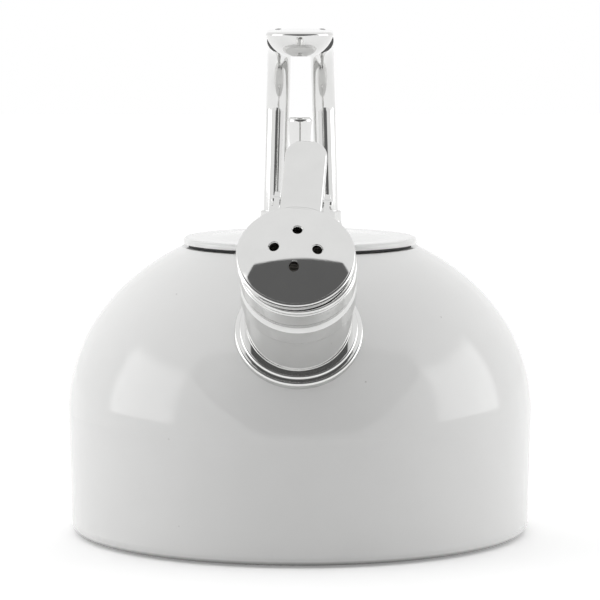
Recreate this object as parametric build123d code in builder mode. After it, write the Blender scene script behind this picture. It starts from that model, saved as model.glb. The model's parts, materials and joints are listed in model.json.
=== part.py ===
from build123d import *
import os
from math import acos, asin, cos, degrees, radians, sin, sqrt

# Stovetop whistling kettle: enamelled steel body, short spout on the front (-Y) with a hinged
# whistle flap, flat lift-off lid, and a cantilever handle fixed to the dome behind the lid.
# Millimetres, +Z up, origin at the middle of the base.

# Body
BODY_R = 100.0           # at the shoulder, the widest place
FOOT_R = 98.8            # just above the bottom corner
SHOULDER_Z = 53.0        # the straight wall ends and the dome begins
DOME_RISE = 81.5         # upright half axis of the dome's ellipse
SHEET = 1.2              # steel and enamel together
FOOT_GAP = 0.6           # body's bottom edge above the table
FOOT_CORNER_R = 4.8
LIP_R = 88.0             # inner edge of the lip turned in under the body
LEDGE_R = 50.8           # the dome ends here in a flat ledge for the lid
MOUTH_R = 44.0           # inside of the mouth's neck
MOUTH_BEND_R = 1.8
MOUTH_DEPTH = 7.2        # ledge to the neck's lower edge

# Base pan
PAN_SHEET = 1.2
PAN_FLAT_R = 86.0
PAN_FLANGE_R = 93.0

# Spout
SPOUT_R = 84.4           # where the spout's axis meets the dome, from the body's axis
SPOUT_ELEVATION = 38.0   # degrees above the horizontal
NECK_R = 22.0
NECK_BORE_R = 20.5
NECK_END = 44.0          # along the spout's axis, from the dome
SPOUT_HOLE_R = 20.0      # in the dome
RING_R = 26.25
RING_DEPTH = 9.0         # how far the ring reaches down before the dome cuts it
RING_TOP = -1.2          # of its low outer step, along the axis
RING_EDGE_R = 1.3
RING_STEP_R = 24.2       # the raised inner step
RING_STEP_TOP = 0.8
RING_STEP_EDGE_R = 1.1
CUT_MARGIN = 2.0         # by which a cutting solid stands clear of what it cuts

# Whistle collar
COLLAR_START = 25.0
COLLAR_END = 48.6
COLLAR_R = 23.3
COLLAR_EDGE_R = 1.0
COLLAR_GROOVE = 36.5     # middle of the groove along the axis
COLLAR_GROOVE_DEPTH = 0.7
COLLAR_GROOVE_HALF = 3.0
COLLAR_LINE = 46.3       # fine line below the mouth
COLLAR_LINE_HALF = 0.6
COLLAR_LINE_DEPTH = 0.35

# Hinge of the flap, in the flap's own frame: x across, u up the flap, s along the spout
WHISTLE_LEAN = 4.5       # degrees that bracket and flap are turned on the collar
LEAN_U = 11.5            # the point that they are turned about
HINGE_U = 30.5
HINGE_S = 46.0
PIN_R = 1.5
PIN_PLAY = 0.05
EAR_R = 4.3
EAR_IN = 8.9
EAR_OUT = 11.2
PIN_HEAD_R = 2.3
PIN_HEAD = 1.0
PIN_HEAD_EDGE_R = 0.6
PIN_HEAD_GAP = 0.4       # over the bracket's flare
EAR_TRIM = 1.4           # taken off the ears in front, behind the lever's face
SADDLE = 1.3             # sheet of the saddle on the collar
SADDLE_BACK = 40.0
SADDLE_FRONT = 48.9
FLARE_X = 16.0           # half width where the bracket's sides run out on the collar
FLARE_WAIST_X = 12.3     # the middle of that hollow curve
FLARE_WAIST_U = 22.8

# Return spring on the pin
COIL_R = 2.1
WIRE_R = 0.4
COIL_PITCH = 1.6
COIL_TURNS = 3.25
COIL_LEG_BACK = 5.0
COIL_LEG_UP = 9.0

# Whistle flap
CAP_CROWN = 60.2
CAP_SHEET = 1.0
CAP_BEAD_R = 1.5         # section of the rolled bead round the cap
CAP_BEAD_AT = 22.1       # its middle, from the axis
CAP_BEAD_S = 52.6        # its middle, along the axis
CAP_BEAD_START = 153.0   # degrees round the bead, where the cap's dome meets it
CAP_BEAD_END = -66.0     # where the skirt below it begins
CAP_SKIRT_BOTTOM = 49.4
CAP_SKIRT_EDGE_R = 0.5
CAP_SEAT_R = 21.8        # wall and shoulder that hold the cup's flange
CAP_SEAT = 51.4
CAP_SEAT_IN_R = 20.4
VENT_R = 2.0
VENT_CIRCLE_R = 8.5
VENTS = 4
CUP_R = 16.5
CUP_SHEET = 1.0
CUP_BOTTOM = 45.0
WHISTLE_HOLE_R = 2.2
FLAP_SEAL_R = 17.0
FLAP_SEAL_BOTTOM = 48.9

# Thumb lever, pressed in one piece with the cap
LEVER_HALF = 8.5
LEVER_TOP = 57.5
LEVER_END_R = 7.0
LEVER_FACE = 51.5
LEVER_SHEET = 1.2
LEVER_EDGE_R = 1.7
LEVER_ROOT = 15.0        # lower end before the cap's rim cuts it
LEVER_ROOT_R = 22.3
FLANGE_R = 4.0           # flange round the pin
FLANGE_TIP = 48.4        # back edge of the flanges at the lever's top
FLANGE_END = 26.4        # lower end of the flanges

# Lid
LID_R = 50.3
LID_RIM_BOTTOM = 124.7
LID_FLAT = 127.3         # flat top near the rim
LID_CROWN = 128.6
LID_CROWN_R = 40.0
LID_CROWN_SHARE = 0.62   # of the crown's rise, half way out
LID_SEAT_R = 10.0        # flat under the knob
LID_SHEET = 1.1
LID_EDGE_R = 1.8
LID_COLLAR_R = 43.4
LID_COLLAR_SHEET = 1.1
LID_COLLAR_EDGE_R = 0.75
LID_COLLAR_BOTTOM = 112.5
LID_SEAL_R = 47.8
LID_SEAL_GAP = 0.3       # over the ledge

# Lid knob and its fixing
KNOB_TOP = 178.6
KNOB_TOP_R = 5.25
KNOB_WAIST_R = 4.1
KNOB_WAIST = 158.0
KNOB_BASE_R = 8.0
KNOB_BASE = 2.4          # height of the foot's straight edge
KNOB_FLARE = 1.2         # rise over run of the stem at the foot
KNOB_SPREAD = 0.1        # run over rise of the stem at the top
KNOB_EDGE = 1.8          # height of the top's rounding
KNOB_FACE_R = 3.65       # flat of the top
SCREW_R = 2.5
SCREW_DEPTH = 12.0
SCREW_HEAD_R = 4.6
SCREW_HEAD = 2.7
SCREW_SLOT = 1.2
KNOB_WASHER_R = 7.0
KNOB_WASHER = 1.2

# Handle
GRIP_HALF = 14.1
GRIP_TOP = 216.0
GRIP_BOTTOM = 205.4
GRIP_WIDEST = 213.8
GRIP_DECK_HALF = 13.0
GRIP_DECK_EDGE = 215.5
GRIP_FLANK_X = 11.6
GRIP_FLANK_Z = 209.3
GRIP_KEEL_HALF = 6.5
GRIP_FRONT_Y = -40.0
GRIP_REAR_Y = 22.0
GRIP_AXIS_Z = 210.8      # centre line of the tubes at the grip
SPIGOT = 5.0
LEG_R = 5.15
LEG_WALL = 1.2
LEG_TOP_X = 9.3
LEG_FOOT_X = 12.0
LEG_Y = 59.0
LEG_BEND_R = 32.0

# Feet of the handle
FOOT_BASE_R = 8.2
FOOT_TOP_R = 6.5
FOOT_HEIGHT = 16.0
FOOT_STEP = 6.5          # the wide base ends
FOOT_SHANK = 11.5        # the flare above it ends
FOOT_CHAMFER = 0.6
FOOT_SOCKET = 9.0        # floor of the tube's socket above the dome
GASKET = 1.0
GASKET_R = 8.8
STUD_R = 3.0
STUD_HOLE_R = 3.2
STUD_END = 15.5
WASHER_R = 8.6
WASHER_BOTTOM = 8.6
NUT_HEIGHT = 5.0
NUT_FLATS = 10.0

os.makedirs("parts", exist_ok=True)


def finish(builder, name):
    """Label a finished piece and write it."""
    builder.part.label = name
    export_step(builder.part, f"parts/{name}.step")


def dome_z(radius):
    """Height of the dome's outer face at a distance from the body's axis."""
    return SHOULDER_Z + DOME_RISE * sqrt(1 - (radius / BODY_R) ** 2)


def dome_solid(grow):
    """The solid under the dome's outer face, grown or shrunk by a distance."""
    with BuildPart() as solid:
        with BuildSketch(Plane.XZ):
            with BuildLine():
                EllipticalCenterArc((0, SHOULDER_Z), BODY_R + grow, DOME_RISE + grow, arc_size=90)
                Line((0, SHOULDER_Z + DOME_RISE + grow), (0, SHOULDER_Z))
                Line((0, SHOULDER_Z), (BODY_R + grow, SHOULDER_Z))
            make_face()
        revolve(axis=Axis.Z)
    return solid.part


def axial_plane(base):
    """Plane through a base plane's axis: local x across, local y along the axis."""
    return Plane(base.origin, x_dir=base.x_dir, z_dir=-base.y_dir)


def side_plane(base):
    """Plane seen from the side: local x up the base plane, local y along its axis."""
    return Plane(base.origin, x_dir=base.y_dir, z_dir=base.x_dir)


# Frames of the spout and of the flap, which is turned a little on the collar
spout_plane = Plane(
    (0, -SPOUT_R, dome_z(SPOUT_R)),
    x_dir=(1, 0, 0),
    z_dir=(0, -cos(radians(SPOUT_ELEVATION)), sin(radians(SPOUT_ELEVATION))),
)
lean = radians(WHISTLE_LEAN)
flap_x = spout_plane.x_dir * cos(lean) - spout_plane.y_dir * sin(lean)
lean_point = spout_plane.from_local_coords(Vector(0, LEAN_U, 0))
turned = Plane(lean_point, x_dir=flap_x, z_dir=spout_plane.z_dir)
flap_plane = Plane(
    turned.from_local_coords(Vector(0, -LEAN_U, 0)), x_dir=flap_x, z_dir=spout_plane.z_dir
)
spout_axis = Axis(spout_plane.origin, spout_plane.z_dir)
flap_axis = Axis(flap_plane.origin, flap_plane.z_dir)
hinge_point = flap_plane.from_local_coords(Vector(0, HINGE_U, HINGE_S))
hinge_plane = Plane(hinge_point, x_dir=-flap_plane.y_dir, z_dir=flap_plane.x_dir)

# Frames of the two handle legs, which splay towards their feet
leg_foot_z = dome_z(sqrt(LEG_FOOT_X**2 + LEG_Y**2))
leg_drop = sqrt((GRIP_AXIS_Z - leg_foot_z) ** 2 + (LEG_FOOT_X - LEG_TOP_X) ** 2)
splay = asin((LEG_FOOT_X - LEG_TOP_X) / leg_drop)
leg_planes = {}
foot_planes = {}
for side_name, side in (("left", -1), ("right", 1)):
    leg_plane = Plane(
        (side * LEG_TOP_X, 0, GRIP_AXIS_Z), x_dir=(0, 1, 0), z_dir=(cos(splay), 0, side * sin(splay))
    )
    leg_planes[side_name] = leg_plane
    foot_planes[side_name] = Plane(
        leg_plane.from_local_coords(Vector(LEG_Y, -leg_drop, 0)),
        x_dir=leg_plane.z_dir,
        z_dir=leg_plane.y_dir,
    )

dome_outside = dome_solid(0)
dome_inside = dome_solid(-SHEET)
dome_gasket = dome_solid(GASKET)

# Body shell: bottom lip, wall, elliptical dome, flat ledge and the neck of the mouth
ledge_angle = degrees(acos(LEDGE_R / BODY_R))
ledge_z = dome_z(LEDGE_R)
under_ledge = ledge_z - SHEET
inner_angle = degrees(asin((under_ledge - SHOULDER_Z) / (DOME_RISE - SHEET)))
corner_z = FOOT_GAP + FOOT_CORNER_R
corner_r = FOOT_R - FOOT_CORNER_R
bend_r = MOUTH_R + MOUTH_BEND_R
bend_z = ledge_z - MOUTH_BEND_R
mouth_z = ledge_z - MOUTH_DEPTH
mouth_out_r = MOUTH_R + SHEET
with BuildPart() as body_shell:
    with BuildSketch(Plane.XZ):
        with BuildLine():
            Line((LIP_R, FOOT_GAP), (corner_r, FOOT_GAP))
            corner = CenterArc((corner_r, corner_z), FOOT_CORNER_R, -90, 90)
            Line(corner @ 1, (BODY_R, SHOULDER_Z))
            dome = EllipticalCenterArc((0, SHOULDER_Z), BODY_R, DOME_RISE, arc_size=ledge_angle)
            Line(dome @ 1, (bend_r, ledge_z))
            bend = CenterArc((bend_r, bend_z), MOUTH_BEND_R, 90, 90)
            Polyline(bend @ 1, (MOUTH_R, mouth_z), (mouth_out_r, mouth_z), (mouth_out_r, bend_z))
            bend_under = CenterArc((bend_r, bend_z), MOUTH_BEND_R - SHEET, 180, -90)
            dome_under = EllipticalCenterArc(
                (0, SHOULDER_Z), BODY_R - SHEET, DOME_RISE - SHEET, arc_size=inner_angle
            )
            Line(bend_under @ 1, dome_under @ 1)
            Line(dome_under @ 0, (FOOT_R - SHEET, corner_z))
            corner_in = CenterArc((corner_r, corner_z), FOOT_CORNER_R - SHEET, 0, -90)
            Polyline(corner_in @ 1, (LIP_R, FOOT_GAP + SHEET), (LIP_R, FOOT_GAP))
        make_face()
    revolve(axis=Axis.Z)
    with BuildSketch(spout_plane):
        Circle(SPOUT_HOLE_R)
    extrude(amount=NECK_END / 2, both=True, mode=Mode.SUBTRACT)
    for foot_plane in foot_planes.values():
        with BuildSketch(foot_plane):
            Circle(STUD_HOLE_R)
        extrude(amount=STUD_END / 2, both=True, mode=Mode.SUBTRACT)
finish(body_shell, "body_shell")

# Base pan: flat bottom, joggled up so that its flange lies on the body's lip
flange_z = FOOT_GAP + SHEET
with BuildPart() as base_pan:
    with BuildSketch(Plane.XZ):
        with BuildLine():
            Polyline(
                (0, 0),
                (PAN_FLAT_R, 0),
                (LIP_R, FOOT_GAP),
                (LIP_R, flange_z),
                (PAN_FLANGE_R, flange_z),
                (PAN_FLANGE_R, flange_z + PAN_SHEET),
                (LIP_R - PAN_SHEET, flange_z + PAN_SHEET),
                (PAN_FLAT_R - PAN_SHEET, PAN_SHEET),
                (0, PAN_SHEET),
                close=True,
            )
        make_face()
    revolve(axis=Axis.Z)
finish(base_pan, "base_pan")

# Spout neck: a tube whose lower end is scribed to the dome
with BuildPart() as spout_neck:
    with BuildSketch(spout_plane.offset(-NECK_R)):
        Circle(NECK_R)
        Circle(NECK_BORE_R, mode=Mode.SUBTRACT)
    extrude(amount=NECK_R + NECK_END)
    add(dome_outside, mode=Mode.SUBTRACT)
finish(spout_neck, "spout_neck")

# Spout ring: a low outer step and a raised inner step with rounded edges, scribed to the dome
edge_r = RING_R - RING_EDGE_R
edge_s = RING_TOP - RING_EDGE_R
step_r = RING_STEP_R - RING_STEP_EDGE_R
step_s = RING_STEP_TOP - RING_STEP_EDGE_R
with BuildPart() as spout_ring:
    with BuildSketch(axial_plane(spout_plane)):
        with BuildLine():
            Polyline((NECK_R, -RING_DEPTH), (RING_R, -RING_DEPTH), (RING_R, edge_s))
            CenterArc((edge_r, edge_s), RING_EDGE_R, 0, 90)
            Polyline((edge_r, RING_TOP), (RING_STEP_R, RING_TOP), (RING_STEP_R, step_s))
            CenterArc((step_r, step_s), RING_STEP_EDGE_R, 0, 90)
            Polyline((step_r, RING_STEP_TOP), (NECK_R, RING_STEP_TOP), (NECK_R, -RING_DEPTH))
        make_face()
    revolve(axis=spout_axis)
    add(dome_outside, mode=Mode.SUBTRACT)
finish(spout_ring, "spout_ring")

# Whistle collar: pressed on the neck, grooved, with a lip that the flap's seal closes on
groove_low = COLLAR_GROOVE - COLLAR_GROOVE_HALF
groove_high = COLLAR_GROOVE + COLLAR_GROOVE_HALF
line_low = COLLAR_LINE - COLLAR_LINE_HALF
line_high = COLLAR_LINE + COLLAR_LINE_HALF
lip_r = COLLAR_R - COLLAR_EDGE_R
low_edge_s = COLLAR_START + COLLAR_EDGE_R
high_edge_s = COLLAR_END - COLLAR_EDGE_R
with BuildPart() as whistle_collar:
    with BuildSketch(axial_plane(spout_plane)):
        with BuildLine():
            CenterArc((lip_r, low_edge_s), COLLAR_EDGE_R, -90, 90)
            Line((COLLAR_R, low_edge_s), (COLLAR_R, groove_low))
            ThreePointArc(
                (COLLAR_R, groove_low),
                (COLLAR_R - COLLAR_GROOVE_DEPTH, COLLAR_GROOVE),
                (COLLAR_R, groove_high),
            )
            Line((COLLAR_R, groove_high), (COLLAR_R, line_low))
            ThreePointArc(
                (COLLAR_R, line_low), (COLLAR_R - COLLAR_LINE_DEPTH, COLLAR_LINE), (COLLAR_R, line_high)
            )
            Line((COLLAR_R, line_high), (COLLAR_R, high_edge_s))
            CenterArc((lip_r, high_edge_s), COLLAR_EDGE_R, 0, 90)
            Polyline(
                (lip_r, COLLAR_END),
                (NECK_BORE_R, COLLAR_END),
                (NECK_BORE_R, NECK_END),
                (NECK_R, NECK_END),
                (NECK_R, COLLAR_START),
                (lip_r, COLLAR_START),
            )
        make_face()
    revolve(axis=spout_axis)
finish(whistle_collar, "whistle_collar")

# Hinge bracket: a saddle on the collar that sweeps up into two ears round the pin
saddle_r = COLLAR_R + SADDLE
saddle_u = sqrt(saddle_r**2 - EAR_IN**2)
flare_u = sqrt(COLLAR_R**2 - FLARE_X**2)
ear_top = HINGE_U + EAR_R
flare_top = HINGE_U - PIN_HEAD_R - PIN_HEAD_GAP
ear_front = HINGE_S + EAR_R - EAR_TRIM
ear_back = HINGE_S - EAR_R
with BuildPart() as hinge_bracket:
    with BuildSketch(flap_plane.offset(SADDLE_BACK)):
        for mirror_x in (-1, 1):
            with BuildLine():
                Polyline(
                    (0, 0),
                    (0, saddle_r),
                    (mirror_x * EAR_IN, saddle_u),
                    (mirror_x * EAR_IN, ear_top),
                    (mirror_x * EAR_OUT, ear_top),
                    (mirror_x * EAR_OUT, flare_top),
                )
                ThreePointArc(
                    (mirror_x * EAR_OUT, flare_top),
                    (mirror_x * FLARE_WAIST_X, FLARE_WAIST_U),
                    (mirror_x * FLARE_X, flare_u),
                )
                Line((mirror_x * FLARE_X, flare_u), (0, 0))
            make_face()
    extrude(amount=HINGE_S + EAR_R - SADDLE_BACK)
    with BuildSketch(side_plane(flap_plane)):
        with BuildLine():
            Polyline(
                (HINGE_U, ear_back),
                (saddle_r, SADDLE_BACK),
                (0, SADDLE_BACK),
                (0, SADDLE_FRONT),
                (saddle_r, SADDLE_FRONT),
                (HINGE_U, ear_front),
            )
            ThreePointArc((HINGE_U, ear_front), (ear_top, HINGE_S), (HINGE_U, ear_back))
        make_face()
    extrude(amount=FLARE_X + CUT_MARGIN, both=True, mode=Mode.INTERSECT)
    with BuildSketch(spout_plane):
        Circle(COLLAR_R)
    extrude(amount=COLLAR_END + CUT_MARGIN, mode=Mode.SUBTRACT)
    with BuildSketch(side_plane(flap_plane)):
        with Locations((HINGE_U, HINGE_S)):
            Circle(PIN_R)
    extrude(amount=EAR_OUT + CUT_MARGIN, both=True, mode=Mode.SUBTRACT)
finish(hinge_bracket, "hinge_bracket")

# Hinge pin, headed over outside both ears
with BuildPart() as hinge_pin:
    with BuildSketch(hinge_plane):
        Circle(PIN_R)
    extrude(amount=EAR_OUT, both=True)
    for end in (-1, 1):
        with BuildSketch(hinge_plane.offset(end * EAR_OUT)):
            Circle(PIN_HEAD_R)
        extrude(amount=end * PIN_HEAD)
    heads = hinge_pin.edges().filter_by(GeomType.CIRCLE).sort_by(Axis(hinge_point, flap_plane.x_dir))
    fillet([heads[0], heads[-1]], radius=PIN_HEAD_EDGE_R)
finish(hinge_pin, "hinge_pin")

# Return spring: a coil on the pin, one leg back over the saddle and one up behind the lever
coil_height = COIL_PITCH * COIL_TURNS
coil = hinge_plane.location * Helix(
    COIL_PITCH, coil_height, COIL_R, center=(0, 0, -coil_height / 2), lefthand=True
)
leg_back = coil @ 0 - (coil % 0) * COIL_LEG_BACK
leg_up = coil @ 1 + (coil % 1) * COIL_LEG_UP
with BuildPart() as hinge_spring:
    with BuildLine() as wire_path:
        Line(leg_back, coil @ 0)
        add(coil)
        Line(coil @ 1, leg_up)
    with BuildSketch(Plane(leg_back, z_dir=coil % 0)):
        Circle(WIRE_R)
    sweep(path=wire_path.wire())
finish(hinge_spring, "hinge_spring")

# Whistle flap: thumb lever as a channel whose flanges carry the pin, and a convex cap with a
# rolled bead, four vents and a seat inside for the whistle
cap_r = CAP_BEAD_AT + CAP_BEAD_R * cos(radians(CAP_BEAD_START))
cap_edge = CAP_BEAD_S + CAP_BEAD_R * sin(radians(CAP_BEAD_START))
crown_r = ((CAP_CROWN - cap_edge) ** 2 + cap_r**2) / (2 * (CAP_CROWN - cap_edge))
crown_centre = CAP_CROWN - crown_r
under_r = crown_r - CAP_SHEET
skirt_r = CAP_BEAD_AT + CAP_BEAD_R * cos(radians(CAP_BEAD_END))
skirt_edge_r = skirt_r - CAP_SKIRT_EDGE_R
skirt_edge_s = CAP_SKIRT_BOTTOM + CAP_SKIRT_EDGE_R
flange_back = HINGE_S - FLANGE_R


def cap_height(sphere_r, radius):
    """Height along the axis of the cap's outer or inner sphere."""
    return crown_centre + sqrt(sphere_r**2 - radius**2)


def lever_outline(inset):
    """Outline of the thumb lever, drawn smaller by an inset."""
    top = LEVER_TOP - inset
    with BuildSketch(flap_plane.offset(flange_back)) as outline:
        with Locations((0, (top + LEVER_ROOT) / 2)):
            Rectangle(2 * (LEVER_HALF - inset), top - LEVER_ROOT)
        fillet(outline.vertices().sort_by(Axis.Y)[-2:], radius=LEVER_END_R - inset)
    return outline.sketch


lever_block = lever_outline(0)
lever_hollow = lever_outline(LEVER_SHEET)
up_the_flap = Axis(flap_plane.origin, flap_plane.y_dir)
with BuildPart() as flap_cap:
    extrude(lever_block, amount=LEVER_FACE - flange_back)
    face_edges = flap_cap.faces().sort_by(flap_axis)[-1].edges()
    fillet(face_edges.sort_by(up_the_flap)[1:], radius=LEVER_EDGE_R)
    extrude(lever_hollow, amount=LEVER_FACE - LEVER_SHEET - flange_back, mode=Mode.SUBTRACT)
    with BuildSketch(side_plane(flap_plane)):
        with BuildLine():
            Polyline(
                (HINGE_U, flange_back),
                (LEVER_TOP, FLANGE_TIP),
                (LEVER_TOP, LEVER_FACE),
                (LEVER_ROOT, LEVER_FACE),
                (LEVER_ROOT, LEVER_FACE - LEVER_SHEET),
                (FLANGE_END, LEVER_FACE - LEVER_SHEET),
                (FLANGE_END, HINGE_S),
            )
            RadiusArc((FLANGE_END, HINGE_S), (HINGE_U, flange_back), FLANGE_R, short_sagitta=True)
        make_face()
    extrude(amount=LEVER_HALF, both=True, mode=Mode.INTERSECT)
    with BuildSketch(flap_plane.offset(flange_back)):
        Circle(LEVER_ROOT_R)
    extrude(amount=LEVER_FACE - flange_back, mode=Mode.SUBTRACT)
    with BuildSketch(axial_plane(flap_plane)):
        with BuildLine():
            crown = ThreePointArc(
                (0, CAP_CROWN), (cap_r / 2, cap_height(crown_r, cap_r / 2)), (cap_r, cap_edge)
            )
            bead = CenterArc(
                (CAP_BEAD_AT, CAP_BEAD_S), CAP_BEAD_R, CAP_BEAD_START, CAP_BEAD_END - CAP_BEAD_START
            )
            Line(bead @ 1, (skirt_r, skirt_edge_s))
            CenterArc((skirt_edge_r, skirt_edge_s), CAP_SKIRT_EDGE_R, 0, -90)
            Polyline(
                (skirt_edge_r, CAP_SKIRT_BOTTOM),
                (CAP_SEAT_R, CAP_SKIRT_BOTTOM),
                (CAP_SEAT_R, CAP_SEAT),
                (CAP_SEAT_IN_R, CAP_SEAT),
                (CAP_SEAT_IN_R, cap_height(under_r, CAP_SEAT_IN_R)),
            )
            under = ThreePointArc(
                (CAP_SEAT_IN_R, cap_height(under_r, CAP_SEAT_IN_R)),
                (cap_r / 2, cap_height(under_r, cap_r / 2)),
                (0, CAP_CROWN - CAP_SHEET),
            )
            Line(under @ 1, crown @ 0)
        make_face()
    revolve(axis=flap_axis)
    with BuildSketch(flap_plane.offset(CAP_SEAT)):
        with PolarLocations(VENT_CIRCLE_R, VENTS):
            Circle(VENT_R)
    extrude(amount=CAP_CROWN - CAP_SEAT, mode=Mode.SUBTRACT)
    with BuildSketch(hinge_plane):
        Circle(PIN_R + PIN_PLAY)
    extrude(amount=LEVER_HALF, both=True, mode=Mode.SUBTRACT)
finish(flap_cap, "flap_cap")

# Whistle cup: flanged cup that hangs under the cap, with the lower of the whistle's two holes
flange_bottom = CAP_SEAT - CUP_SHEET
with BuildPart() as whistle_cup:
    with BuildSketch(axial_plane(flap_plane)):
        with BuildLine():
            Polyline(
                (WHISTLE_HOLE_R, CUP_BOTTOM),
                (CUP_R, CUP_BOTTOM),
                (CUP_R, flange_bottom),
                (CAP_SEAT_R, flange_bottom),
                (CAP_SEAT_R, CAP_SEAT),
                (CUP_R - CUP_SHEET, CAP_SEAT),
                (CUP_R - CUP_SHEET, CUP_BOTTOM + CUP_SHEET),
                (WHISTLE_HOLE_R, CUP_BOTTOM + CUP_SHEET),
                close=True,
            )
        make_face()
    revolve(axis=flap_axis)
finish(whistle_cup, "whistle_cup")

# Whistle plate: closes the cup, with the upper hole
with BuildPart() as whistle_plate:
    with BuildSketch(flap_plane.offset(flange_bottom)):
        Circle(CUP_R - CUP_SHEET)
        Circle(WHISTLE_HOLE_R, mode=Mode.SUBTRACT)
    extrude(amount=CUP_SHEET)
finish(whistle_plate, "whistle_plate")

# Flap seal: silicone ring under the cup's flange
with BuildPart() as flap_seal:
    with BuildSketch(flap_plane.offset(FLAP_SEAL_BOTTOM)):
        Circle(CAP_SEAT_R)
        Circle(FLAP_SEAL_R, mode=Mode.SUBTRACT)
    extrude(amount=flange_bottom - FLAP_SEAL_BOTTOM)
finish(flap_seal, "flap_seal")

# Lid shell: a slightly crowned disc with its edge turned down
lid_under = LID_FLAT - LID_SHEET
seat_under = LID_CROWN - LID_SHEET
edge_in_r = LID_EDGE_R - LID_SHEET
crown_mid_r = (LID_SEAT_R + LID_CROWN_R) / 2
crown_mid = LID_FLAT + (LID_CROWN - LID_FLAT) * LID_CROWN_SHARE
with BuildPart() as lid_shell:
    with BuildSketch(Plane.XZ):
        with BuildLine():
            Line((SCREW_R, LID_CROWN), (LID_SEAT_R, LID_CROWN))
            ThreePointArc((LID_SEAT_R, LID_CROWN), (crown_mid_r, crown_mid), (LID_CROWN_R, LID_FLAT))
            Line((LID_CROWN_R, LID_FLAT), (LID_R - LID_EDGE_R, LID_FLAT))
            CenterArc((LID_R - LID_EDGE_R, LID_FLAT - LID_EDGE_R), LID_EDGE_R, 90, -90)
            Polyline(
                (LID_R, LID_FLAT - LID_EDGE_R),
                (LID_R, LID_RIM_BOTTOM),
                (LID_R - LID_SHEET, LID_RIM_BOTTOM),
                (LID_R - LID_SHEET, LID_FLAT - LID_EDGE_R),
            )
            CenterArc((LID_R - LID_EDGE_R, LID_FLAT - LID_EDGE_R), edge_in_r, 0, 90)
            Line((LID_R - LID_EDGE_R, lid_under), (LID_CROWN_R, lid_under))
            ThreePointArc(
                (LID_CROWN_R, lid_under), (crown_mid_r, crown_mid - LID_SHEET), (LID_SEAT_R, seat_under)
            )
            Polyline((LID_SEAT_R, seat_under), (SCREW_R, seat_under), (SCREW_R, LID_CROWN))
        make_face()
    revolve(axis=Axis.Z)
finish(lid_shell, "lid_shell")

# Lid collar: skirt that keeps the lid in the mouth
with BuildPart() as lid_collar:
    with BuildSketch(Plane.XY.offset(LID_COLLAR_BOTTOM)):
        Circle(LID_COLLAR_R)
        Circle(LID_COLLAR_R - LID_COLLAR_SHEET, mode=Mode.SUBTRACT)
    extrude(amount=lid_under - LID_COLLAR_BOTTOM)
    low_edge = lid_collar.edges().group_by(Axis.Z)[0].sort_by(SortBy.RADIUS)[-1]
    fillet(low_edge, radius=LID_COLLAR_EDGE_R)
finish(lid_collar, "lid_collar")

# Lid seal: dark silicone ring that shows as the line under the lid's rim
with BuildPart() as lid_seal:
    with BuildSketch(Plane.XY.offset(ledge_z + LID_SEAL_GAP)):
        Circle(LID_SEAL_R)
        Circle(LID_COLLAR_R, mode=Mode.SUBTRACT)
    extrude(amount=lid_under - ledge_z - LID_SEAL_GAP)
finish(lid_seal, "lid_seal")

# Lid knob: a turned trumpet, tapped from below
stem_z = LID_CROWN + KNOB_BASE
with BuildPart() as lid_knob:
    with BuildSketch(Plane.XZ):
        with BuildLine():
            Polyline((0, KNOB_TOP), (0, LID_CROWN), (KNOB_BASE_R, LID_CROWN), (KNOB_BASE_R, stem_z))
            stem = Spline(
                (KNOB_BASE_R, stem_z),
                (KNOB_WAIST_R, KNOB_WAIST),
                (KNOB_TOP_R, KNOB_TOP - KNOB_EDGE),
                tangents=[(-1, KNOB_FLARE), (KNOB_SPREAD, 1)],
            )
            TangentArc(stem @ 1, (KNOB_FACE_R, KNOB_TOP), tangent=stem % 1)
            Line((KNOB_FACE_R, KNOB_TOP), (0, KNOB_TOP))
        make_face()
    revolve(axis=Axis.Z)
    with BuildSketch(Plane.XY.offset(LID_CROWN)):
        Circle(SCREW_R)
    extrude(amount=SCREW_DEPTH, mode=Mode.SUBTRACT)
finish(lid_knob, "lid_knob")

# Knob washer and slotted screw under the lid
washer_bottom = seat_under - KNOB_WASHER
with BuildPart() as knob_washer:
    with BuildSketch(Plane.XY.offset(washer_bottom)):
        Circle(KNOB_WASHER_R)
        Circle(SCREW_R, mode=Mode.SUBTRACT)
    extrude(amount=KNOB_WASHER)
finish(knob_washer, "knob_washer")

with BuildPart() as knob_screw:
    with BuildSketch(Plane.XY.offset(washer_bottom)):
        Circle(SCREW_R)
    extrude(amount=LID_CROWN + SCREW_DEPTH - washer_bottom)
    with BuildSketch(Plane.XY.offset(washer_bottom)):
        Circle(SCREW_HEAD_R)
    extrude(amount=-SCREW_HEAD)
    fillet(knob_screw.edges().group_by(Axis.Z)[0], radius=SCREW_HEAD / 2)
    with BuildSketch(Plane.XY.offset(washer_bottom - SCREW_HEAD)):
        Rectangle(2 * SCREW_HEAD_R, SCREW_SLOT)
    extrude(amount=SCREW_SLOT, mode=Mode.SUBTRACT)
finish(knob_screw, "knob_screw")

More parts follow.
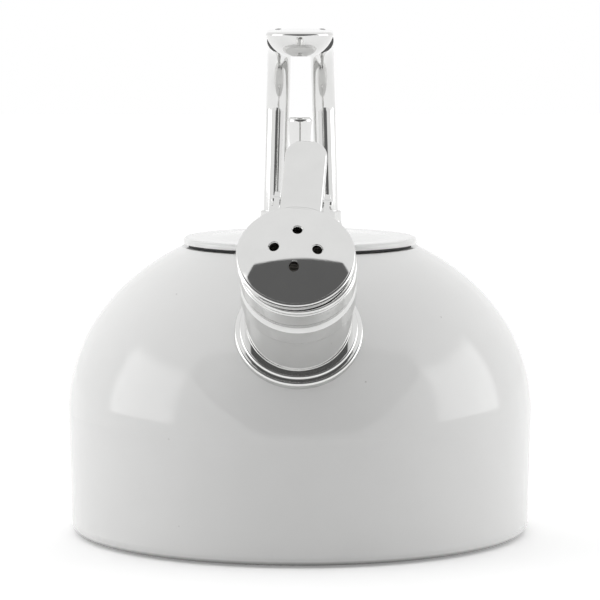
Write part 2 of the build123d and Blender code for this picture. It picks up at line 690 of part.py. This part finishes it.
# Handle grip: boat-hull section run along Y, its bow the same half section turned about a post,
# with two spigots at the rear for the tubes
bow_y = GRIP_FRONT_Y + GRIP_HALF
with BuildPart() as handle_grip:
    with BuildSketch(Plane.XZ.offset(-bow_y)) as hull_half:
        with BuildLine():
            deck = TangentArc((0, GRIP_TOP), (GRIP_DECK_HALF, GRIP_DECK_EDGE), tangent=(1, 0))
            TangentArc(deck @ 1, (GRIP_HALF, GRIP_WIDEST), tangent=deck % 1)
            ThreePointArc(
                (GRIP_HALF, GRIP_WIDEST), (GRIP_FLANK_X, GRIP_FLANK_Z), (GRIP_KEEL_HALF, GRIP_BOTTOM)
            )
            Polyline((GRIP_KEEL_HALF, GRIP_BOTTOM), (0, GRIP_BOTTOM), (0, GRIP_TOP))
        make_face()
    extrude(amount=bow_y - GRIP_REAR_Y)
    mirror(about=Plane.YZ)
    revolve(hull_half.sketch, axis=Axis((0, bow_y, 0), (0, 0, -1)), revolution_arc=180)
    with BuildSketch(Plane.XZ.offset(-GRIP_REAR_Y)):
        with Locations((-LEG_TOP_X, GRIP_AXIS_Z), (LEG_TOP_X, GRIP_AXIS_Z)):
            Circle(LEG_R - LEG_WALL)
    extrude(amount=-SPIGOT)
finish(handle_grip, "handle_grip")

# Handle legs, each with its foot, gasket and saddle washer
leg_length = leg_drop - FOOT_SOCKET
for side_name, leg_plane in leg_planes.items():
    foot_plane = foot_planes[side_name]
    leg_axis = Axis(foot_plane.origin, foot_plane.z_dir)

    with BuildPart() as handle_leg:
        with BuildLine(leg_plane) as leg_path:
            FilletPolyline((GRIP_REAR_Y, 0), (LEG_Y, 0), (LEG_Y, -leg_length), radius=LEG_BEND_R)
        with BuildSketch(Plane(leg_path.line @ 0, x_dir=leg_plane.z_dir, z_dir=leg_path.line % 0)):
            Circle(LEG_R)
            Circle(LEG_R - LEG_WALL, mode=Mode.SUBTRACT)
        sweep(path=leg_path.wire())
    finish(handle_leg, f"handle_leg_{side_name}")

    with BuildPart() as leg_foot:
        with BuildSketch(axial_plane(foot_plane)):
            with BuildLine():
                TangentArc((FOOT_TOP_R, FOOT_SHANK), (FOOT_BASE_R, FOOT_STEP), tangent=(0, -1))
                Polyline(
                    (FOOT_BASE_R, FOOT_STEP),
                    (FOOT_BASE_R, -FOOT_HEIGHT),
                    (0, -FOOT_HEIGHT),
                    (0, FOOT_SOCKET),
                    (LEG_R, FOOT_SOCKET),
                    (LEG_R, FOOT_HEIGHT),
                    (FOOT_TOP_R - FOOT_CHAMFER, FOOT_HEIGHT),
                    (FOOT_TOP_R, FOOT_HEIGHT - FOOT_CHAMFER),
                    (FOOT_TOP_R, FOOT_SHANK),
                )
            make_face()
        revolve(axis=leg_axis)
        add(dome_gasket, mode=Mode.SUBTRACT)
        with BuildSketch(foot_plane.offset(-STUD_END)):
            Circle(STUD_R)
        extrude(amount=STUD_END + FOOT_SOCKET)
    finish(leg_foot, f"leg_foot_{side_name}")

    with BuildPart() as leg_gasket:
        with BuildSketch(foot_plane.offset(-FOOT_HEIGHT)):
            Circle(GASKET_R)
            Circle(STUD_HOLE_R, mode=Mode.SUBTRACT)
        extrude(amount=2 * FOOT_HEIGHT)
        add(dome_gasket, mode=Mode.INTERSECT)
        add(dome_outside, mode=Mode.SUBTRACT)
    finish(leg_gasket, f"leg_gasket_{side_name}")

    with BuildPart() as leg_washer:
        with BuildSketch(foot_plane.offset(-WASHER_BOTTOM)):
            Circle(WASHER_R)
            Circle(STUD_HOLE_R, mode=Mode.SUBTRACT)
        extrude(amount=2 * WASHER_BOTTOM)
        add(dome_inside, mode=Mode.INTERSECT)
    finish(leg_washer, f"leg_washer_{side_name}")

# Nuts on the studs inside the dome
with BuildPart() as leg_nuts:
    for foot_plane in foot_planes.values():
        with BuildSketch(foot_plane.offset(-WASHER_BOTTOM)):
            RegularPolygon(NUT_FLATS / 2, 6, major_radius=False)
            Circle(STUD_R, mode=Mode.SUBTRACT)
        extrude(amount=-NUT_HEIGHT)
finish(leg_nuts, "leg_nuts")
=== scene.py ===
import json
from math import asin, cos, pi, radians, sin

import bmesh
import bpy
from mathutils import Matrix, Vector


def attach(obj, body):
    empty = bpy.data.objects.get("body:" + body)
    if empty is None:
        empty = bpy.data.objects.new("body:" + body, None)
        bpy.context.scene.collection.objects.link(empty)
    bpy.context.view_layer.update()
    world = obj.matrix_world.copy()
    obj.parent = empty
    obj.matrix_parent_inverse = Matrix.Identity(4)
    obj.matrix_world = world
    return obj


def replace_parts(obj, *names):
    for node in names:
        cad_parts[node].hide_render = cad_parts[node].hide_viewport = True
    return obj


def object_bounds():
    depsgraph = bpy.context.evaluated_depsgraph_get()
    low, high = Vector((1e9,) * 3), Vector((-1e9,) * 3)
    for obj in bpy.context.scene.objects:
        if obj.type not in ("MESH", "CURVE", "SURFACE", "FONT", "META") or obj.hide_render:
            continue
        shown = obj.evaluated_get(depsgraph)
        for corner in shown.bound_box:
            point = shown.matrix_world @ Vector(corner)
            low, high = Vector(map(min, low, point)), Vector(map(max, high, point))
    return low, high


# Stovetop whistling kettle, dressed: white porcelain enamel and mirror-polished stainless steel.
# Metres, +Z up, the spout towards -Y, as in the frame.

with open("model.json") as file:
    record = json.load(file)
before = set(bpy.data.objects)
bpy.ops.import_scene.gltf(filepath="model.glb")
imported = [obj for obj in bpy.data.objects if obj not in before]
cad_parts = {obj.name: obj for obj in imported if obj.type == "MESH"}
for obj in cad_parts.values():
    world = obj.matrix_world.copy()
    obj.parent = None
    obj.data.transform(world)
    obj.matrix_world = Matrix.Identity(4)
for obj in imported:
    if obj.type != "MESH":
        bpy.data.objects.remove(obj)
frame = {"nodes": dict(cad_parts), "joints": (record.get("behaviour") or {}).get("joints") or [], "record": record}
cad_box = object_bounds()

MM = 0.001
WHITE = (1.0, 1.0, 1.0, 1.0)

# Outer face of the whistle cap: a shallow dome seated on the cap's rolled edge, in the flap's own frame
FLAP_ELEVATION = 38.0            # degrees of the flap's axis above the horizontal
HINGE_UP = 30.5 * MM             # the hinge's place: up the flap, and along its axis
HINGE_OUT = 46.0 * MM
FACE_CROWN = 60.3 * MM
FACE_SPHERE = 43.0 * MM
FACE_EDGE = 23.3 * MM            # middle of the sheet's rounded edge, from the axis
FACE_SHEET = 0.8 * MM
VENT_R = 2.4 * MM
VENT_CIRCLE = 8.5 * MM
VENTS = 4
VENT_SIDES = 48
FACE_STEPS = 40                  # from the crown to the edge
EDGE_STEPS = 8                   # round the edge
FACE_SIDES = 160
WELD = 0.001 * MM

# Return spring on the hinge pin
COIL_R = 2.1 * MM
COIL_PITCH = 1.6 * MM
COIL_TURNS = 3.25
COIL_STEPS = 78
WIRE_R = 0.4 * MM
LEG_BACK = 5.0 * MM              # over the bracket's saddle
LEG_UP = 9.0 * MM                # behind the thumb lever

# Camera: the place that it stood in, worked out from the kettle's size in the picture
CAMERA_DISTANCE = 1448 * MM      # from the body's axis
CAMERA_HEIGHT = 244.5 * MM
CAMERA_YAW = 0.35                # degrees, towards +X
CAMERA_PITCH = 5.71              # degrees below the horizontal
SENSOR = 36.0
LENS = 202.5

# Studio, which shows only in the kettle: degrees round it from the spout's side, and above the horizontal
WALL_LEVEL = 1.06                # light of the walls and ceiling, which are mirrored as plain white
WALL_LEFT = 0.12                 # so much brighter on the left
GAP_LEVEL = 0.14                 # dark gap in the front wall
GAP_MIDDLE = 4.0
GAP_HALF = 66.0
GAP_FOOT_HALF = 28.0             # it is narrower at the floor
GAP_SPREAD = 1.31                # and widens by so much for each degree above it
GAP_TOP = 57.0
GAP_ARCH = 0.0034                # how fast its top falls away to the sides
GAP_SOFT = 1.5
LAMP_LEVEL = 2.65                # soft lamps, one on each side
LAMP_START = 68.0
LAMP_END = 111.0
LAMP_TOP = 29.0
LAMP_SOFT = 4.0

# Floor: a table that ends in front of the camera's foot
FLOOR_SIDE = 4.0
FLOOR_FRONT = 1.1
FLOOR_DIM = -200 * MM            # the table is a little greyer left of here
FLOOR_BRIGHT = 100 * MM          # and white from here on
FLOOR_LIFT = 0.25                # light that keeps the shadow on it pale


def linear(hex_colour):
    """An sRGB hex colour as linear RGBA."""
    channels = [int(hex_colour[i:i + 2], 16) / 255 for i in (1, 3, 5)]
    return (*[c / 12.92 if c <= 0.04045 else ((c + 0.055) / 1.055) ** 2.4 for c in channels], 1.0)


def node(tree, kind, inputs=None, **settings):
    """Adds a node. Settings are its own properties; inputs are values, or other nodes' outputs to link."""
    made = tree.nodes.new(kind)
    for name, value in settings.items():
        setattr(made, name, value)
    for name, value in (inputs or {}).items():
        if isinstance(value, bpy.types.NodeSocket):
            tree.links.new(value, made.inputs[name])
        else:
            made.inputs[name].default_value = value
    return made


def start_material(name):
    """An empty material, its node tree, and the place on the kettle in metres."""
    material = bpy.data.materials.new(name)
    material.use_nodes = True
    tree = material.node_tree
    tree.nodes.clear()
    return material, tree, node(tree, "ShaderNodeTexCoord").outputs["Object"]


def finish_material(tree, colour, roughness, height, depth, **surface):
    """Joins colour, roughness and relief in one surface. The relief is so many metres deep."""
    relief = node(tree, "ShaderNodeBump", {"Height": height, "Strength": 1.0, "Distance": depth})
    look = {"Base Color": colour, "Roughness": roughness, "Normal": relief.outputs[0], **surface}
    shader = node(tree, "ShaderNodeBsdfPrincipled", look)
    node(tree, "ShaderNodeOutputMaterial", {"Surface": shader.outputs[0]})


def glazed_porcelain_enamel():
    """Fired glass on pressed steel: white and wet-looking, with a glaze that flowed a little unevenly.

    Fine specks lie in it, and over the body's lowest 3 mm the colour darkens to grey: painted shade where the body
    meets the floor.
    """
    material, tree, place = start_material("glazed_porcelain_enamel")
    flow = {"Vector": place, "Scale": 1 / (28 * MM), "Detail": 2.0}
    flow = node(tree, "ShaderNodeTexNoise", flow).outputs[0]
    glaze = {0: flow, 6: linear("#E4E4E3"), 7: linear("#E9E9E8")}
    glaze = node(tree, "ShaderNodeMix", glaze, data_type="RGBA").outputs[2]
    cells = {"Vector": place, "Scale": 1 / (16 * MM)}
    cells = node(tree, "ShaderNodeTexVoronoi", cells).outputs["Distance"]
    speck = {"Value": cells, "From Min": 0.03, "From Max": 0.015, "To Max": 0.35}
    speck = node(tree, "ShaderNodeMapRange", speck).outputs[0]
    glaze = {0: speck, 6: glaze, 7: linear("#7C7872")}
    glaze = node(tree, "ShaderNodeMix", glaze, data_type="RGBA").outputs[2]
    # Painted shade: the colour darkens to grey over the lowest 3 mm, where the body meets the floor
    level = node(tree, "ShaderNodeSeparateXYZ", {0: place}).outputs["Z"]
    edge = {"Value": level, "From Min": 3.0 * MM, "From Max": 1.0 * MM}
    edge = node(tree, "ShaderNodeMapRange", edge).outputs[0]
    glaze = {0: edge, 6: glaze, 7: linear("#8A8A88")}
    glaze = node(tree, "ShaderNodeMix", glaze, data_type="RGBA").outputs[2]
    gloss = {"Value": flow, "To Min": 0.04, "To Max": 0.09}
    gloss = node(tree, "ShaderNodeMapRange", gloss).outputs[0]
    peel = {"Vector": place, "Scale": 1 / (5 * MM), "Detail": 1.0}
    peel = node(tree, "ShaderNodeTexNoise", peel).outputs[0]
    finish_material(tree, glaze, gloss, peel, 0.012 * MM, IOR=1.52)
    return material


def buffed_stainless_steel():
    """Stainless steel buffed to a mirror: clear reflections, a breath of haze, fine marks of the wheel.

    The marks are drawn 0.6 mm wide, coarser than they are, so that they last in a picture.
    """
    material, tree, place = start_material("buffed_stainless_steel")
    haze = {"Vector": place, "Scale": 1 / (9 * MM), "Detail": 3.0}
    haze = node(tree, "ShaderNodeTexNoise", haze).outputs[0]
    colour = {0: haze, 6: linear("#D7D7D6"), 7: linear("#DFDFDE")}
    colour = node(tree, "ShaderNodeMix", colour, data_type="RGBA").outputs[2]
    gloss = {"Value": haze, "To Min": 0.02, "To Max": 0.09}
    gloss = node(tree, "ShaderNodeMapRange", gloss).outputs[0]
    marks = {"Vector": place, "Scale": (1 / (18 * MM), 1 / (0.6 * MM), 1 / (0.6 * MM))}
    marks = {"Vector": node(tree, "ShaderNodeMapping", marks).outputs[0], "Scale": 1.0, "Detail": 2.0}
    marks = node(tree, "ShaderNodeTexNoise", marks).outputs[0]
    finish_material(tree, colour, gloss, marks, 0.004 * MM, Metallic=1.0)
    return material


def spun_stainless_steel():
    """Stainless sheet as it leaves the lathe: dull silver, rings round the axis, a faint brown heat tint.

    The rings are drawn 1.2 mm apart, coarser than they are, so that they last in a picture.
    """
    material, tree, place = start_material("spun_stainless_steel")
    tint = {"Vector": place, "Scale": 1 / (30 * MM), "Detail": 3.0}
    tint = node(tree, "ShaderNodeTexNoise", tint).outputs[0]
    colour = {0: tint, 6: linear("#C8C8C6"), 7: linear("#B5AFA6")}
    colour = node(tree, "ShaderNodeMix", colour, data_type="RGBA").outputs[2]
    rings = {"Vector": place, "Scale": pi / (10 * 1.2 * MM), "Distortion": 0.6, "Detail": 2.0}
    rings = node(tree, "ShaderNodeTexWave", rings, wave_type="RINGS", rings_direction="Z").outputs["Fac"]
    gloss = {"Value": rings, "To Min": 0.24, "To Max": 0.42}
    gloss = node(tree, "ShaderNodeMapRange", gloss).outputs[0]
    finish_material(tree, colour, gloss, rings, 0.02 * MM, Metallic=1.0)
    return material


def moulded_silicone():
    """Dark silicone from a blasted mould: matt, finely pitted, slightly dusty."""
    material, tree, place = start_material("moulded_silicone")
    dust = {"Vector": place, "Scale": 1 / (4 * MM), "Detail": 4.0}
    dust = node(tree, "ShaderNodeTexNoise", dust).outputs[0]
    colour = {0: dust, 6: linear("#2A2A2B"), 7: linear("#3E3E3F")}
    colour = node(tree, "ShaderNodeMix", colour, data_type="RGBA").outputs[2]
    gloss = {"Value": dust, "To Min": 0.45, "To Max": 0.7}
    gloss = node(tree, "ShaderNodeMapRange", gloss).outputs[0]
    pits = {"Vector": place, "Scale": 1 / (0.5 * MM), "Detail": 1.0}
    pits = node(tree, "ShaderNodeTexNoise", pits).outputs[0]
    finish_material(tree, colour, gloss, pits, 0.04 * MM)
    return material


FINISHES = {
    "enamel": glazed_porcelain_enamel(),
    "polished_steel": buffed_stainless_steel(),
    "plain_steel": spun_stainless_steel(),
    "silicone": moulded_silicone(),
}
for part in frame["record"]["subparts"]:
    piece = frame["nodes"][part["node"]]
    piece.data.materials.clear()
    piece.data.materials.append(FINISHES[part["material_slot"]])


def flap_frame():
    """The hinge's place, and the flap's directions: across, up the lever, and out along the spout."""
    hinge = next(joint for joint in frame["joints"] if joint["name"] == "flap_hinge")
    across = -Vector(hinge["axis"])
    out = Vector((0, -cos(radians(FLAP_ELEVATION)), sin(radians(FLAP_ELEVATION))))
    return Vector(hinge["pos_m"]), across, out.cross(across), out


def spring_wire(name, points, body):
    """Round steel wire that runs through the points and rides on a body."""
    curve = bpy.data.curves.new(name, "CURVE")
    curve.dimensions = "3D"
    curve.bevel_depth = WIRE_R
    curve.use_fill_caps = True
    spline = curve.splines.new("POLY")
    spline.points.add(len(points) - 1)
    for spot, point in zip(spline.points, points):
        spot.co = (*point, 1.0)
    curve.materials.append(FINISHES["plain_steel"])
    wire = bpy.data.objects.new(name, curve)
    bpy.context.scene.collection.objects.link(wire)
    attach(wire, body)
    return wire


def return_spring():
    """Coil spring in two pieces: the coil stays on the pin, its upper leg goes with the lever."""
    hinge, across, up, out = flap_frame()
    coil = []
    for i in range(COIL_STEPS + 1):
        turns = COIL_TURNS * i / COIL_STEPS
        spoke = out * sin(2 * pi * turns) - up * cos(2 * pi * turns)
        coil.append(hinge + COIL_R * spoke + COIL_PITCH * (turns - COIL_TURNS / 2) * across)
    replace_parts(spring_wire("spring_coil", [coil[0] - LEG_BACK * out, *coil], "kettle"), "hinge_spring")
    spring_wire("spring_upper_leg", [coil[-1], coil[-1] + LEG_UP * up], "flap")


def whistle_cap_face():
    """Smooth outer face of the whistle cap, pierced by the steam holes, one sheet thick."""
    dome = bmesh.new()
    edge_angle = asin(FACE_EDGE / (FACE_SPHERE - FACE_SHEET / 2))
    steps = [edge_angle * i / FACE_STEPS for i in range(FACE_STEPS + 1)]
    profile = [(FACE_SPHERE * sin(a), FACE_SPHERE * cos(a)) for a in steps]
    edge_z = FACE_EDGE * cos(edge_angle) / sin(edge_angle)
    bulge = FACE_SHEET / 2
    for i in range(1, EDGE_STEPS):
        turn = edge_angle + pi * i / EDGE_STEPS
        profile.append((FACE_EDGE + bulge * sin(turn), edge_z + bulge * cos(turn)))
    inner = FACE_SPHERE - FACE_SHEET
    profile += [(inner * sin(a), inner * cos(a)) for a in reversed(steps)]
    line = [dome.verts.new((r, 0, z)) for r, z in profile]
    edges = [dome.edges.new(pair) for pair in zip(line, line[1:])]
    sweep = {"axis": (0, 0, 1), "angle": 2 * pi, "steps": FACE_SIDES, "use_merge": True}
    bmesh.ops.spin(dome, geom=line + edges, **sweep)
    bmesh.ops.remove_doubles(dome, verts=dome.verts, dist=WELD)
    bmesh.ops.recalc_face_normals(dome, faces=dome.faces)
    for polygon in dome.faces:
        polygon.smooth = True
    drills = bmesh.new()
    for i in range(VENTS):
        turn = 2 * pi * i / VENTS
        spot = Matrix.Translation((VENT_CIRCLE * cos(turn), VENT_CIRCLE * sin(turn), FACE_SPHERE))
        size = {"segments": VENT_SIDES, "radius1": VENT_R, "radius2": VENT_R, "depth": FACE_SPHERE / 4}
        bmesh.ops.create_cone(drills, cap_ends=True, matrix=spot, **size)
    objects = []
    for name, shape in (("whistle_cap_face", dome), ("drills", drills)):
        mesh = bpy.data.meshes.new(name)
        shape.to_mesh(mesh)
        shape.free()
        objects.append(bpy.data.objects.new(name, mesh))
        bpy.context.scene.collection.objects.link(objects[-1])
    face, drill = objects
    face.modifiers.new("vents", "BOOLEAN").object = drill
    mesh = bpy.data.meshes.new_from_object(face.evaluated_get(bpy.context.evaluated_depsgraph_get()))
    face.modifiers.clear()
    face.data = mesh
    bpy.data.objects.remove(drill)
    # The dome's normals are the sphere's own, so that the holes leave its mirror image smooth
    normals = []
    for polygon in mesh.polygons:
        domed = polygon.center.length > FACE_SPHERE - FACE_SHEET / 8
        for i in polygon.vertices:
            normals.append(mesh.vertices[i].co.normalized() if domed else Vector((0, 0, 0)))
    mesh.normals_split_custom_set(normals)
    hinge, across, up, out = flap_frame()
    place = Matrix((across, up, out)).transposed().to_4x4()
    place.translation = hinge - HINGE_UP * up + (FACE_CROWN - FACE_SPHERE - HINGE_OUT) * out
    mesh.transform(place)
    mesh.materials.clear()
    mesh.materials.append(FINISHES["polished_steel"])
    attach(face, "flap")


def background_rays(tree):
    """1 for rays that show the white background: the camera's, mirrored ones and those through glass."""
    path = node(tree, "ShaderNodeLightPath").outputs
    rays = path["Is Camera Ray"]
    for kind in ("Is Glossy Ray", "Is Transmission Ray"):
        rays = node(tree, "ShaderNodeMath", {0: rays, 1: path[kind]}, operation="MAXIMUM").outputs[0]
    return rays


def region(tree, steps):
    """1 inside a region with soft edges: each value fades in from its first number to its second."""
    inside = None
    for value, start, end in steps:
        edge = {"Value": value, "From Min": start, "From Max": end}
        fade = node(tree, "ShaderNodeMapRange", edge, interpolation_type="SMOOTHSTEP").outputs[0]
        if inside is None:
            inside = fade
        else:
            inside = node(tree, "ShaderNodeMath", {0: inside, 1: fade}, operation="MULTIPLY").outputs[0]
    return inside


def studio_world():
    """White studio with a soft lamp on each side and a dark gap in front."""
    world = bpy.data.worlds.new("studio")
    bpy.context.scene.world = world
    world.use_nodes = True
    tree = world.node_tree
    tree.nodes.clear()
    place = node(tree, "ShaderNodeTexCoord").outputs["Generated"]
    axes = node(tree, "ShaderNodeSeparateXYZ", {0: place}).outputs
    height = node(tree, "ShaderNodeMath", {0: axes["Z"]}, operation="ARCSINE").outputs[0]
    height = node(tree, "ShaderNodeMath", {0: height}, operation="DEGREES").outputs[0]
    front = node(tree, "ShaderNodeMath", {0: axes["Y"], 1: -1.0}, operation="MULTIPLY").outputs[0]
    aside = node(tree, "ShaderNodeMath", {0: axes["X"], 1: front}, operation="ARCTAN2").outputs[0]
    aside = node(tree, "ShaderNodeMath", {0: aside}, operation="DEGREES").outputs[0]
    aside = node(tree, "ShaderNodeMath", {0: aside, 1: GAP_MIDDLE}, operation="SUBTRACT").outputs[0]
    aside = node(tree, "ShaderNodeMath", {0: aside}, operation="ABSOLUTE").outputs[0]
    foot = {0: height, 1: -GAP_SPREAD, 2: aside}
    foot = node(tree, "ShaderNodeMath", foot, operation="MULTIPLY_ADD").outputs[0]
    arch = node(tree, "ShaderNodeMath", {0: aside, 1: 2.0}, operation="POWER").outputs[0]
    arch = {0: arch, 1: GAP_ARCH, 2: height}
    arch = node(tree, "ShaderNodeMath", arch, operation="MULTIPLY_ADD").outputs[0]
    gap = region(
        tree,
        (
            (aside, GAP_HALF + GAP_SOFT, GAP_HALF - GAP_SOFT),
            (foot, GAP_FOOT_HALF + GAP_SOFT, GAP_FOOT_HALF - GAP_SOFT),
            (arch, GAP_TOP + GAP_SOFT, GAP_TOP - GAP_SOFT),
        ),
    )
    lamps = region(
        tree,
        (
            (aside, LAMP_START - LAMP_SOFT, LAMP_START + LAMP_SOFT),
            (aside, LAMP_END + LAMP_SOFT, LAMP_END - LAMP_SOFT),
            (height, LAMP_TOP + LAMP_SOFT, LAMP_TOP - LAMP_SOFT),
        ),
    )
    level = {0: axes["X"], 1: -WALL_LEFT, 2: WALL_LEVEL}
    level = node(tree, "ShaderNodeMath", level, operation="MULTIPLY_ADD").outputs[0]
    level = node(tree, "ShaderNodeMix", {0: background_rays(tree), 2: level, 3: 1.0}).outputs[0]
    level = node(tree, "ShaderNodeMix", {0: gap, 2: level, 3: GAP_LEVEL}).outputs[0]
    level = node(tree, "ShaderNodeMix", {0: lamps, 2: level, 3: LAMP_LEVEL}).outputs[0]
    studio = node(tree, "ShaderNodeBackground", {"Color": WHITE, "Strength": level}).outputs[0]
    backdrop = node(tree, "ShaderNodeBackground", {"Color": WHITE, "Strength": 1.0}).outputs[0]
    seen = node(tree, "ShaderNodeLightPath").outputs["Is Camera Ray"]
    both = node(tree, "ShaderNodeMixShader", {0: seen, 1: studio, 2: backdrop}).outputs[0]
    node(tree, "ShaderNodeOutputWorld", {"Surface": both})


def studio_floor():
    """White table top that runs out into the white backdrop and keeps the kettle's shadow."""
    mesh = bpy.data.meshes.new("floor")
    corners = [
        (-FLOOR_SIDE, -FLOOR_FRONT, 0),
        (FLOOR_SIDE, -FLOOR_FRONT, 0),
        (FLOOR_SIDE, FLOOR_SIDE, 0),
        (-FLOOR_SIDE, FLOOR_SIDE, 0),
    ]
    mesh.from_pydata(corners, [], [(0, 1, 2, 3)])
    floor = bpy.data.objects.new("floor", mesh)
    bpy.context.scene.collection.objects.link(floor)
    floor.location.z = cad_box[0].z
    material, tree, place = start_material("white_table_top")
    side = node(tree, "ShaderNodeSeparateXYZ", {0: place}).outputs["X"]
    side = {"Value": side, "From Min": FLOOR_DIM, "From Max": FLOOR_BRIGHT}
    side = node(tree, "ShaderNodeMapRange", side).outputs[0]
    tone = {0: side, 6: linear("#E2E2E2"), 7: linear("#F5F5F5")}
    tone = node(tree, "ShaderNodeMix", tone, data_type="RGBA").outputs[2]
    board = node(tree, "ShaderNodeBsdfDiffuse", {"Color": tone}).outputs[0]
    paper = node(tree, "ShaderNodeBsdfDiffuse", {"Color": linear("#F4F4F4")}).outputs[0]
    lift = node(tree, "ShaderNodeEmission", {"Color": WHITE, "Strength": FLOOR_LIFT}).outputs[0]
    paper = node(tree, "ShaderNodeAddShader", {0: paper, 1: lift}).outputs[0]
    both = node(tree, "ShaderNodeMixShader", {0: background_rays(tree), 1: board, 2: paper}).outputs[0]
    node(tree, "ShaderNodeOutputMaterial", {"Surface": both})
    mesh.materials.append(material)


def front_camera():
    """Camera in front of the spout, looking slightly down."""
    camera = bpy.data.objects.new("camera", bpy.data.cameras.new("camera"))
    bpy.context.scene.collection.objects.link(camera)
    yaw = radians(CAMERA_YAW)
    camera.location = (CAMERA_DISTANCE * sin(yaw), -CAMERA_DISTANCE * cos(yaw), CAMERA_HEIGHT)
    camera.rotation_euler = (radians(90 - CAMERA_PITCH), 0, yaw)
    camera.data.sensor_width = SENSOR
    camera.data.lens = LENS
    bpy.context.scene.camera = camera


return_spring()
whistle_cap_face()
studio_world()
studio_floor()
front_camera()
bpy.context.scene.view_settings.view_transform = "Standard"
